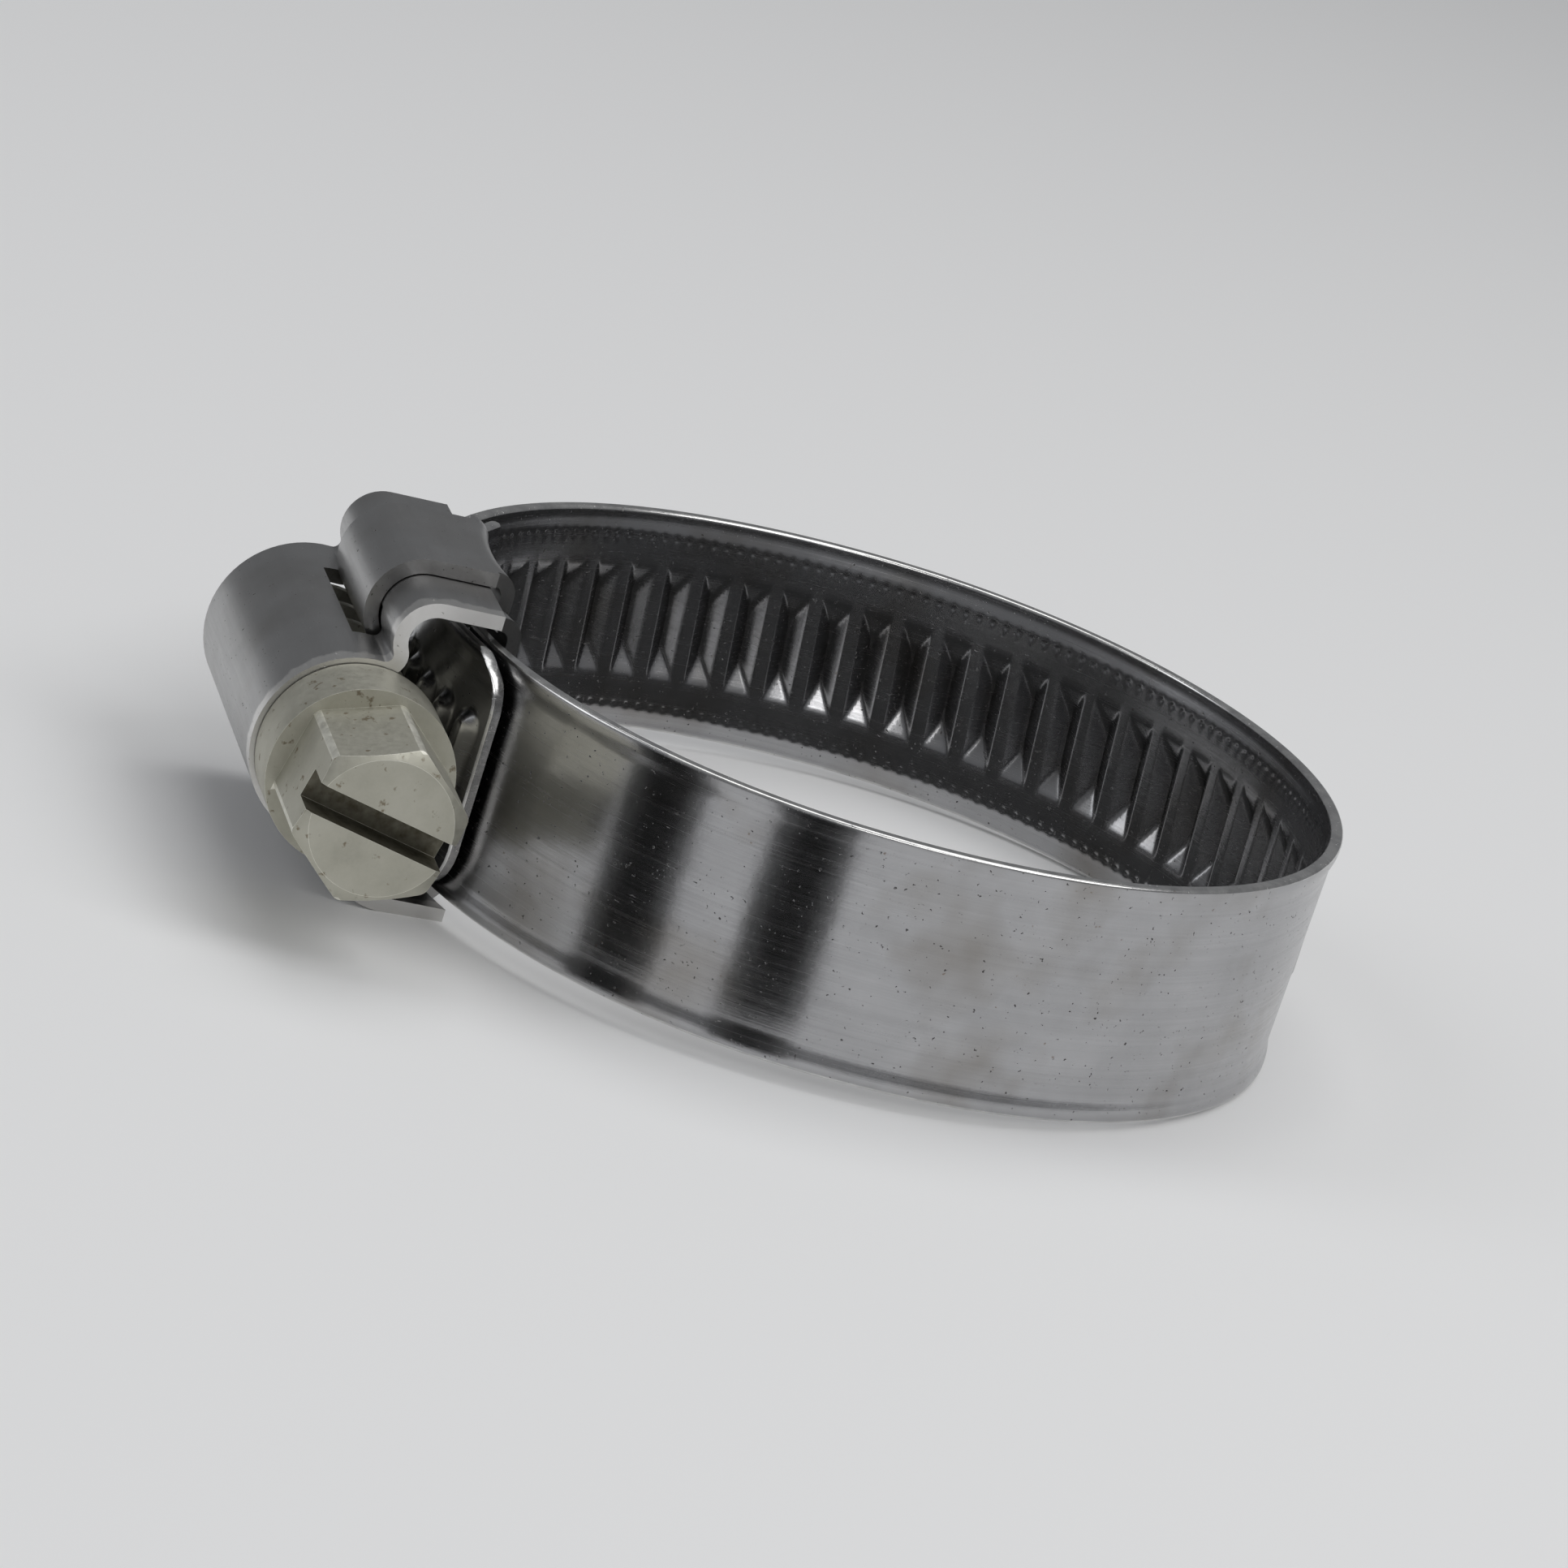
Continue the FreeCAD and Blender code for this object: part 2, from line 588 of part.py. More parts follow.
def retainer(name, middle_angle, start):
    """A crimped lug inside the barrel's mouth that keeps the worm in."""
    outer = doc.addObject("Part::Cylinder", name + "_outer")
    bind(outer, Radius="%s + %s / 2" % (cell("barrel_bore"), cell("sheet")),
         Height=cell("retainer_length"), Angle=cell("retainer_angle"))
    inner = doc.addObject("Part::Cylinder", name + "_inner")
    bind(inner, Radius=cell("retainer_radius"), Height="2 * " + cell("retainer_length"))
    inner.Placement.Base.z = -size("retainer_length") / 2
    lug = doc.addObject("Part::Cut", name)
    lug.Base = outer
    lug.Tool = inner
    roll = FreeCAD.Rotation(FreeCAD.Vector(1, 0, 0), middle_angle - size("retainer_angle") / 2)
    lay = FreeCAD.Rotation(FreeCAD.Vector(1, 1, 1), 120)
    lug.Placement = FreeCAD.Placement(FreeCAD.Vector(start, AXIS_Y, 0), roll.multiply(lay))
    return lug


lugs = []
mouths = (SEAT.x - HALF_LENGTH + 0.15, SEAT.x + HALF_LENGTH - 0.15 - size("retainer_length"))
for mouth, start in enumerate(mouths, start=1):
    for lug_number, middle_angle in enumerate((-55.0, 0.0, 55.0), start=1):
        lugs.append(retainer("retainer_%d%d" % (mouth, lug_number), middle_angle, start))

# Two clinched buttons hold the band's fixed end on the saddle.
buttons = []
for side in (-1, 1):
    lean = math.degrees(side * size("clinch_spacing") / 2 / PLATE)
    button = doc.addObject("Part::Cylinder", "clinch_left" if side < 0 else "clinch_right")
    bind(button, Radius=cell("clinch_radius"))
    button.Height = FIXED - HALF - PLATE - 0.01
    upright = FreeCAD.Rotation(FreeCAD.Vector(1, 0, 0), -90)
    lie = FreeCAD.Rotation(Z_AXIS, -lean).multiply(upright)
    button.Placement = FreeCAD.Placement(SEAT + lie.multVec(FreeCAD.Vector(0, 0, PLATE)), lie)
    buttons.append(button)

housing = doc.addObject("Part::MultiFuse", "housing")
housing.Label = "housing"
housing.Shapes = [slotted_wrap, hem_wall, hem_saddle, ears, tab_root, tab_wall, hook] + lugs + buttons
housing.Refine = True

# ---------------------------------------------------------------- check and export
doc.recompute()
NODES = ["housing", "worm_screw", "band_fixed_end", "band_tail"]
NODES += ["band_segment_%02d" % number for number in range(1, len(loop) + 1)]
for thing in doc.Objects:
    for state in thing.State:
        if state in ("Invalid", "Error"):
            raise RuntimeError("%s did not compute" % thing.Name)
os.makedirs("parts", exist_ok=True)
for node in NODES:
    part = doc.getObjectsByLabel(node)[0]
    if part.Shape.isNull() or not part.Shape.isValid() or len(part.Shape.Solids) != 1:
        raise RuntimeError("%s is not one valid solid: %d" % (node, len(part.Shape.Solids)))
    part.Shape.exportStep("parts/%s.step" % node)
    limits = part.Shape.BoundBox
    spans = (limits.XMin, limits.XMax, limits.YMin, limits.YMax, limits.ZMin, limits.ZMax)
    layout = "x %6.2f..%6.2f  y %6.2f..%6.2f  z %6.2f..%6.2f"
    print("%-18s volume %8.2f" % (node, part.Shape.Volume), layout % spans)
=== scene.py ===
import json
import math

import bmesh
import bpy
import numpy as np
from mathutils import Matrix, Vector

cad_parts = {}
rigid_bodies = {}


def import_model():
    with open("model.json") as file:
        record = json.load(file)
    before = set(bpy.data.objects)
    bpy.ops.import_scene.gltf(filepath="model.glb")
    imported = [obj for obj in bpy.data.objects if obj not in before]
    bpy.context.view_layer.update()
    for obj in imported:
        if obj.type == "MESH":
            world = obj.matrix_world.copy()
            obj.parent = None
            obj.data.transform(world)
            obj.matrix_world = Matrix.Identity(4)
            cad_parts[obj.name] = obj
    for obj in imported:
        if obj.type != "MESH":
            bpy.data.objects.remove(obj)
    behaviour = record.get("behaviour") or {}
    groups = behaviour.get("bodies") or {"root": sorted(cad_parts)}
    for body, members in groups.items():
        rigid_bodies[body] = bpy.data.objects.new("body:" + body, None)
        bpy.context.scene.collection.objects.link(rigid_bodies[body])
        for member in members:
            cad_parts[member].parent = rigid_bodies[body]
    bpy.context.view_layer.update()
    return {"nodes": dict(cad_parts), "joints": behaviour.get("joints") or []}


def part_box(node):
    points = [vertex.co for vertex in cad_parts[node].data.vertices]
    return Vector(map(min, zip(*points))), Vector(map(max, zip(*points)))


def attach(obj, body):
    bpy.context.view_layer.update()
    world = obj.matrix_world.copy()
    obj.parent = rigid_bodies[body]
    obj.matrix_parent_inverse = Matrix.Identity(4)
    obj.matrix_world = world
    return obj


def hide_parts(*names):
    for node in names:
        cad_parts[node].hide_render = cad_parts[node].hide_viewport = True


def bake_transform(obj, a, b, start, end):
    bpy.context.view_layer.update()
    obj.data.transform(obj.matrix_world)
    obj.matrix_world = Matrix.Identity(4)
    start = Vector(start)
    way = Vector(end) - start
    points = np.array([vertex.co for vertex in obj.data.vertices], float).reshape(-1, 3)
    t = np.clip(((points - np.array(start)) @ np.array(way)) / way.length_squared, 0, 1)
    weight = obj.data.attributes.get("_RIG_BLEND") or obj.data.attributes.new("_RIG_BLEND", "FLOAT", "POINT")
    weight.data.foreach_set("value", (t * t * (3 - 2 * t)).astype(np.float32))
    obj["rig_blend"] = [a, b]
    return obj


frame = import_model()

# Looks of a worm-drive hose clamp. Lengths are in millimetres unless a comment says metres.
MM = 0.001


def add_object(name, data):
    """A new object with this data, linked to the scene."""
    made = bpy.data.objects.new(name, data)
    bpy.context.scene.collection.objects.link(made)
    return made


# ---------------------------------------------------------------- the band's line
# Seen along Z the strip's middle line is five tangent arcs, run clockwise from the tail's tip to the
# tongue's tip: the tail's arc, one flatter arc, the ring's arc, one flatter arc, the fixed end's arc.
THICKNESS = 0.65
WIDTH = 12.0
SEAT = np.array([-0.42, 1.6])      # centre of the tail's and the fixed end's arcs
TAIL = 22.3                        # radii of the five arcs
TAIL_SIDE = 26.84
RING = 21.5 + THICKNESS / 2
HEAD_SIDE = 25.6
FIXED = 21.3
TAIL_REACH = 9.0                   # three lengths along the line, from the point above the seat's centre
TONGUE_REACH = 14.0
FIXED_REACH = 3.0
FIXED_GAP = 0.5                    # open joint inside the housing
THREAD_PITCH = 2.3
MESH_HEIGHT = 0.26                 # where the thread meshes, above the strip's outer face
PITCH = THREAD_PITCH * TAIL / (TAIL + THICKNESS / 2 + MESH_HEIGHT)
LOOP_RIBS = 20                     # ribs past the tail's arc
ANGLE_SLACK = 1e-3
WORM_MIDDLE = 3.44                 # radius of the worm at which the ribs take their lean
LEAN = THREAD_PITCH / (2 * math.pi * WORM_MIDDLE)
UP = math.pi / 2


def side_arc(upper_radius, radius, side):
    """Centre of a flatter arc, and the angles where it meets the seat's arc and the ring's arc."""
    to_seat = radius - upper_radius
    to_ring = radius - RING
    spread = np.linalg.norm(SEAT)
    along = (to_ring ** 2 - to_seat ** 2 + spread ** 2) / (2 * spread)
    across = math.sqrt(to_ring ** 2 - along ** 2)
    axis = SEAT / spread
    centre = axis * along + np.array([-axis[1], axis[0]]) * (side * across)
    to_seat_centre = SEAT - centre
    top = math.atan2(to_seat_centre[1], to_seat_centre[0])
    low = math.atan2(-centre[1], -centre[0])
    return centre, top, low


tail_centre, tail_top, tail_low = side_arc(TAIL, TAIL_SIDE, 1)
head_centre, head_top, head_low = side_arc(FIXED, HEAD_SIDE, -1)
head_top %= 2 * math.pi
head_low %= 2 * math.pi
ARCS = [
    (SEAT, TAIL, UP + TAIL_REACH / TAIL, tail_top),
    (tail_centre, TAIL_SIDE, tail_top, tail_low),
    (np.zeros(2), RING, tail_low, head_low - 2 * math.pi),
    (head_centre, HEAD_SIDE, head_low, head_top),
    (SEAT, FIXED, head_top, UP - TONGUE_REACH / FIXED),
]
LENGTHS = [radius * (first - last) for _, radius, first, last in ARCS]
STARTS = np.concatenate([[0.0], np.cumsum(LENGTHS)])
BAND_LENGTH = STARTS[-1]
THREAD_MIDDLE = LENGTHS[0]
TAIL_RIBS = int(THREAD_MIDDLE / PITCH)


def on_line(along, out):
    """Points of the XY plane at the distances along the line and out from it."""
    along, out = np.broadcast_arrays(along, out)
    which = np.clip(np.searchsorted(STARTS, along, side="right") - 1, 0, len(ARCS) - 1)
    centres = np.array([arc[0] for arc in ARCS])[which]
    radii = np.array([arc[1] for arc in ARCS])[which]
    firsts = np.array([arc[2] for arc in ARCS])[which]
    angle = firsts - (along - STARTS[which]) / radii
    reach = radii + out
    return centres[..., 0] + reach * np.cos(angle), centres[..., 1] + reach * np.sin(angle)


def along_line(point):
    """Distance along the line of a point that lies on it."""
    best = None
    for (centre, radius, first, last), start in zip(ARCS, STARTS):
        to_point = np.array(point) - centre
        angle = math.atan2(to_point[1], to_point[0])
        while angle > first + ANGLE_SLACK:
            angle -= 2 * math.pi
        while angle < last - ANGLE_SLACK:
            angle += 2 * math.pi
        if angle <= first + ANGLE_SLACK:
            off = abs(np.linalg.norm(to_point) - radius)
            if best is None or off < best[0]:
                best = (off, start + radius * (first - angle))
    return best[1]


# ---------------------------------------------------------------- the strip's surface
RIB_HEIGHT = 0.52
RIB_CREST = 0.30                   # half widths of a rib at its flat top and at its foot
RIB_FOOT = 0.92
RIB_HALF = 2.25                    # half length across the strip
RIB_SOFTNESS = 0.012               # rounding of the slopes of ribs and pockets
POCKET_SOFTNESS = 0.004
POCKET_DEPTH = 0.70
POCKET_HALF = 0.78
POCKET_FLOOR = 0.05
POCKET_END = 3.05
POCKET_RAMP = 1.5
LIP = 0.18                         # flare of the strip's two long edges
LIP_START = 4.75
LIP_WIDTH = 0.9
DOT_LINE = 4.62                    # row of small dots beside the pockets
DOT_SIZE = 0.12
DOT_DEPTH = 0.07
DOTS_PER_RIB = 3
EDGE_ROUND = 0.16
EDGE_TURNS = (25, 50, 75, 90)      # degrees round the long edges
CORNER_RADIUS = 2.6
NOTCH_RADIUS = 4.2
NOTCH_DEPTH = 1.1
END_BEVEL = 0.1
END_TAPER = 6.5                    # length in which an end's outline fades out
LEAN_FADE = 1.2                    # length in which the ribs' lean fades in from a cut end
COLUMN_SPACE = 0.05                # least distance between two columns of the mesh
FURROW_SHADE = 0.6                  # most painted shade between the ribs, and how far past their ends it goes
FURROW_FADE = 0.6
CREST_HIGHLIGHT = 0.45                  # painted highlight near a rib's top
CREST_START = 0.7                  # shares of the height between which it is painted lighter
CREST_END = 0.985
SHARP_ANGLE = 38.0
RIB_COLUMNS = [0.0, 0.1, 0.22, 0.32, 0.46, 0.6, 0.72, 0.8, 0.9, 1.0]
HALF_ROWS = [0.0, 0.8, 1.4, 1.7, 2.0, 2.3, 2.55, 2.8, 3.0, 3.2, 3.5, 4.0, 4.4, 4.53, 4.62, 4.71, 4.85,
             5.1, 5.3, 5.5, 5.7, 5.84]


def soft_clip(x, softness):
    """0 below 0 and 1 above 1, with a small round at both ends of the slope."""
    return 0.5 * (np.sqrt(x ** 2 + softness) - np.sqrt((x - 1) ** 2 + softness) + 1)


def smooth(x):
    """0 below 0 and 1 above 1, with a smooth slope between."""
    x = np.clip(x, 0, 1)
    return x * x * (3 - 2 * x)


def lean_at(across):
    """How far a rib has moved along the strip at a place across it."""
    return LEAN * np.clip(across, -POCKET_END, POCKET_END)


def rib_place(along, across):
    """Distance from the nearest rib's own line, and whether that rib is there."""
    count = (along + lean_at(across) - THREAD_MIDDLE) / PITCH
    index = np.floor(count)
    there = (index >= -TAIL_RIBS) & (index < LOOP_RIBS)
    return (count - index - 0.5) * PITCH, there


def outer_relief(along, across):
    """Height of the pressed ribs on the strip's outer face: flat-topped, with rounded ends."""
    beside, there = rib_place(along, across)
    past_end = np.maximum(np.abs(across) - RIB_HALF, 0)
    reach = np.hypot(beside, past_end)
    return there * RIB_HEIGHT * soft_clip((RIB_FOOT - reach) / (RIB_FOOT - RIB_CREST), RIB_SOFTNESS)


def inner_relief(along, across):
    """Depth of the pockets behind the ribs: V-shaped, with a flat ramp at each end."""
    beside, there = rib_place(along, across)
    valley = (POCKET_HALF - np.abs(beside)) / (POCKET_HALF - POCKET_FLOOR)
    ramp = (POCKET_END - np.abs(across)) / POCKET_RAMP
    pocket = there * POCKET_DEPTH * soft_clip(np.minimum(valley, ramp), POCKET_SOFTNESS)
    spacing = PITCH / DOTS_PER_RIB
    to_dot = (along - THREAD_MIDDLE) / spacing
    to_dot = (to_dot - np.round(to_dot)) * spacing
    dot = np.exp(-(to_dot ** 2 + (np.abs(across) - DOT_LINE) ** 2) / DOT_SIZE ** 2)
    return pocket + DOT_DEPTH * dot


def ring_rows():
    """The strip's cross-section as a closed loop of (across, side, edge), and the rows of one face.

    side is 1 on the outer face and -1 on the inner one; edge is 1 on the rounded long edges, where the
    colour is lighter: edge wear with a painted highlight.
    """
    rows = [-row for row in HALF_ROWS[:0:-1]] + HALF_ROWS
    half = WIDTH / 2
    turn = [(half - EDGE_ROUND * (1 - math.sin(math.radians(a))),
             1 - 2 * EDGE_ROUND / THICKNESS * (1 - math.cos(math.radians(a)))) for a in EDGE_TURNS]
    loop = [(row, 1.0, 0.0) for row in rows]
    loop += [(across, side, 1.0) for across, side in turn]
    loop += [(across, -side, 1.0) for across, side in turn[::-1]]
    loop += [(row, -1.0, 0.0) for row in rows[::-1]]
    loop += [(-across, -side, 1.0) for across, side in turn]
    loop += [(-across, side, 1.0) for across, side in turn[::-1]]
    return np.array(loop), len(rows)


def columns():
    """Places of the mesh's columns along the whole strip: crowded where the ribs' edges are."""
    first, last = -TAIL_RIBS - 1, int(BAND_LENGTH / PITCH)
    places = [THREAD_MIDDLE + (number + 0.5) * PITCH + side * offset
              for number in range(first, last + 1)
              for offset in RIB_COLUMNS for side in ((-1, 1) if offset else (1,))]
    places += [THREAD_MIDDLE + number * PITCH for number in range(first, last)]
    return np.array(sorted(places))


ROWS, FACE_ROWS = ring_rows()
COLUMNS = columns()


def end_shift(across, kind):
    """How far the strip's end is drawn in, across its width."""
    away = np.abs(across)
    if kind == "tail":
        past = np.clip(away - (WIDTH / 2 - CORNER_RADIUS), 0, CORNER_RADIUS - 0.02)
        return CORNER_RADIUS - np.sqrt(CORNER_RADIUS ** 2 - past ** 2)
    if kind == "tongue":
        inside = np.sqrt(np.maximum(NOTCH_RADIUS ** 2 - away ** 2, 0))
        return np.maximum(NOTCH_DEPTH - (NOTCH_RADIUS - inside), 0)
    return np.zeros_like(away)


def strip_places(begin, finish, begin_kind, finish_kind):
    """Places of one piece's columns: its two ends, a bevel at each cut end, and the columns between."""
    inside = COLUMNS[(COLUMNS > begin + COLUMN_SPACE) & (COLUMNS < finish - COLUMN_SPACE)]
    places = [begin] if begin_kind == "seam" else [begin, begin + END_BEVEL]
    places += [place for place in inside if place > places[-1] + COLUMN_SPACE]
    places += [finish] if finish_kind == "seam" else [finish - END_BEVEL, finish]
    return [place for number, place in enumerate(places)
            if number in (0, len(places) - 1)
            or place < places[-1] - COLUMN_SPACE or place == finish - END_BEVEL]


def strip_faces(count, ring):
    """Faces of a closed strip of count columns with ring points each, all facing outwards."""
    first = np.arange(count - 1)[:, None] * ring + np.arange(ring)[None, :]
    ahead = np.arange(count - 1)[:, None] * ring + np.roll(np.arange(ring), -1)[None, :]
    faces = np.stack([first, ahead, ahead + ring, first + ring], -1).reshape(-1, 4).tolist()
    turn = (ring - 2 * FACE_ROWS) // 2
    for offset, flip in ((0, True), ((count - 1) * ring, False)):
        outer = np.arange(FACE_ROWS) + offset
        inner = offset + 2 * FACE_ROWS + turn - 1 - np.arange(FACE_ROWS)
        caps = [[outer[i], outer[i + 1], inner[i + 1], inner[i]] for i in range(FACE_ROWS - 1)]
        caps.append([outer[-1] + step for step in range(turn + 2)])
        caps.append([inner[0] + step for step in range(turn + 1)] + [outer[0]])
        faces += [cap[::-1] if flip else cap for cap in caps]
    return faces


def strip_mesh(name, begin, finish, begin_kind="seam", finish_kind="seam"):
    """One stretch of the strip as a closed mesh. A seam continues in the next piece; others are cut."""
    places = strip_places(begin, finish, begin_kind, finish_kind)
    base = np.array(places)[:, None]
    across = ROWS[:, 0][None, :]
    side = ROWS[:, 1][None, :]
    # Lighter colour on the rounded long edges and at the cut ends: edge wear with a painted highlight.
    edge = np.repeat(ROWS[:, 2][None, :], len(places), 0)
    loosen = 1.0 if begin_kind == "seam" else smooth((base - begin) / LEAN_FADE)
    loosen = loosen * (1.0 if finish_kind == "seam" else smooth((finish - base) / LEAN_FADE))
    along = base - lean_at(across) * loosen
    near_begin = np.clip(1 - (base - begin) / END_TAPER, 0, 1) ** 2
    near_finish = np.clip(1 - (finish - base) / END_TAPER, 0, 1) ** 2
    along = along + end_shift(across, begin_kind) * near_begin
    along = along - end_shift(across, finish_kind) * near_finish
    outer = outer_relief(along, across)
    inner = inner_relief(along, across)
    thin = np.ones_like(base)
    for kind, place in ((begin_kind, 0), (finish_kind, -1)):
        if kind != "seam":
            thin[place] = 1 - 2 * END_BEVEL / THICKNESS
            edge[place] = 1.0
    # Painted shade: darker colour in the pockets of the inner face and in the furrows between the ribs of
    # the outer face.
    pocket = np.clip(inner / POCKET_DEPTH, 0, 1) ** 2
    furrow = FURROW_SHADE * (1 - np.clip(outer / RIB_HEIGHT, 0, 1))
    furrow = furrow * smooth((RIB_HALF + FURROW_FADE - np.abs(across)) / FURROW_FADE)
    pressed = rib_place(along, across)[1]
    painted_shade_and_dark_ends = pressed * np.where(side == 1, furrow, np.where(side == -1, pocket, 0))
    # Painted highlight: lighter colour near the ribs' tops on the outer face.
    crest = smooth((outer / RIB_HEIGHT - CREST_START) / (1 - CREST_START))
    crest = crest * (outer < CREST_END * RIB_HEIGHT)
    edge = np.maximum(edge, CREST_HIGHLIGHT * crest * (side == 1))
    lip = LIP * smooth((np.abs(across) - LIP_START) / LIP_WIDTH)
    relief = np.where(side == 1, outer, 0) + np.where(side == -1, inner, 0)
    out = side * thin * THICKNESS / 2 + lip + relief
    x, y = on_line(along, out)
    z = np.broadcast_to(across, x.shape)
    mesh = bpy.data.meshes.new(name)
    mesh.from_pydata((np.stack([x, y, z], -1).reshape(-1, 3) * MM).tolist(), [], strip_faces(*x.shape))
    mesh.update()
    strip = np.stack([along, z, out], -1)
    for label, kind, key, values in (("strip", "FLOAT_VECTOR", "vector", strip),
                                     ("edge", "FLOAT", "value", edge),
                                     ("painted_shade_and_dark_ends", "FLOAT", "value", painted_shade_and_dark_ends)):
        stored = mesh.attributes.new(label, kind, "POINT")
        stored.data.foreach_set(key, values.astype(np.float32).ravel())
    piece = add_object(name, mesh)
    smooth_shade(piece)
    return piece


def smooth_shade(piece):
    """Smooth faces, with sharp edges where the surface turns more than SHARP_ANGLE."""
    mesh = piece.data
    mesh.polygons.foreach_set("use_smooth", [True] * len(mesh.polygons))
    work = bmesh.new()
    work.from_mesh(mesh)
    for line in work.edges:
        line.smooth = not (line.is_manifold and line.calc_face_angle(0) > math.radians(SHARP_ANGLE))
    work.to_mesh(mesh)
    work.free()


# ---------------------------------------------------------------- materials
def ramp(tree, source, stops):
    """A colour ramp fed by a value, flat outside its stops, which are (position, grey or colour)."""
    made = tree.nodes.new("ShaderNodeValToRGB")
    elements = made.color_ramp.elements
    while len(elements) < len(stops):
        elements.new(0.5)
    for element, (position, colour) in zip(elements, stops):
        element.position = position
        element.color = (*(colour if isinstance(colour, tuple) else (colour,) * 3), 1)
    tree.links.new(source, made.inputs["Fac"])
    return made.outputs["Color"]


def noise(tree, vector, scale, detail, roughness):
    """Noise texture at a scale for each millimetre of the vector."""
    made = tree.nodes.new("ShaderNodeTexNoise")
    made.inputs["Scale"].default_value = scale
    made.inputs["Detail"].default_value = detail
    made.inputs["Roughness"].default_value = roughness
    tree.links.new(vector, made.inputs["Vector"])
    return made.outputs["Fac"]


def stretched(tree, vector, scale):
    """The vector with each of its axes scaled."""
    made = tree.nodes.new("ShaderNodeMapping")
    made.inputs["Scale"].default_value = scale
    tree.links.new(vector, made.inputs["Vector"])
    return made.outputs["Vector"]


def mix(tree, factor, first, second):
    """Blends two colours; each input is a socket, a number or a colour."""
    made = tree.nodes.new("ShaderNodeMix")
    made.data_type = "RGBA"
    sockets = [socket for socket in made.inputs if socket.enabled]
    for socket, value in zip(sockets, (factor, first, second)):
        if isinstance(value, (int, float)):
            socket.default_value = value if socket.type == "VALUE" else (value, value, value, 1)
        elif isinstance(value, tuple):
            socket.default_value = (*value, 1)
        else:
            tree.links.new(value, socket)
    return [socket for socket in made.outputs if socket.enabled][0]


def maths(tree, operation, first, second):
    """One step of arithmetic; each input is a socket or a number."""
    made = tree.nodes.new("ShaderNodeMath")
    made.operation = operation
    for socket, value in zip(made.inputs, (first, second)):
        if isinstance(value, (int, float)):
            socket.default_value = value
        else:
            tree.links.new(value, socket)
    return made.outputs[0]


def new_metal(name):
    """A new metallic material, its node tree and its shader."""
    material = bpy.data.materials.new(name)
    material.use_nodes = True
    tree = material.node_tree
    shader = tree.nodes["Principled BSDF"]
    shader.inputs["Metallic"].default_value = 1.0
    return material, tree, shader


def bumped(tree, shader, layers):
    """Chains bump nodes; each layer is (height, distance in metres, strength)."""
    normal = None
    for height, distance, strength in layers:
        made = tree.nodes.new("ShaderNodeBump")
        made.inputs["Distance"].default_value = distance
        made.inputs["Strength"].default_value = strength
        tree.links.new(height, made.inputs["Height"])
        if normal is not None:
            tree.links.new(normal, made.inputs["Normal"])
        normal = made.outputs["Normal"]
    tree.links.new(normal, shader.inputs["Normal"])


def mask(tree, name):
    """A mask that the mesh carries as an attribute, such as edge or painted_shade_and_dark_ends."""
    made = tree.nodes.new("ShaderNodeAttribute")
    made.attribute_name = name
    return made.outputs["Fac"]


def darker(tone, share):
    """The tone with every channel multiplied by the share."""
    return tuple(c * share for c in tone)


def object_millimetres(tree):
    """The piece's own coordinates in millimetres."""
    source = tree.nodes.new("ShaderNodeTexCoord")
    return stretched(tree, source.outputs["Object"], (1 / MM,) * 3)


def strip_millimetres(tree):
    """The band's own coordinates in millimetres: along the strip, across it and out from it."""
    source = tree.nodes.new("ShaderNodeAttribute")
    source.attribute_name = "strip"
    return source.outputs["Vector"]


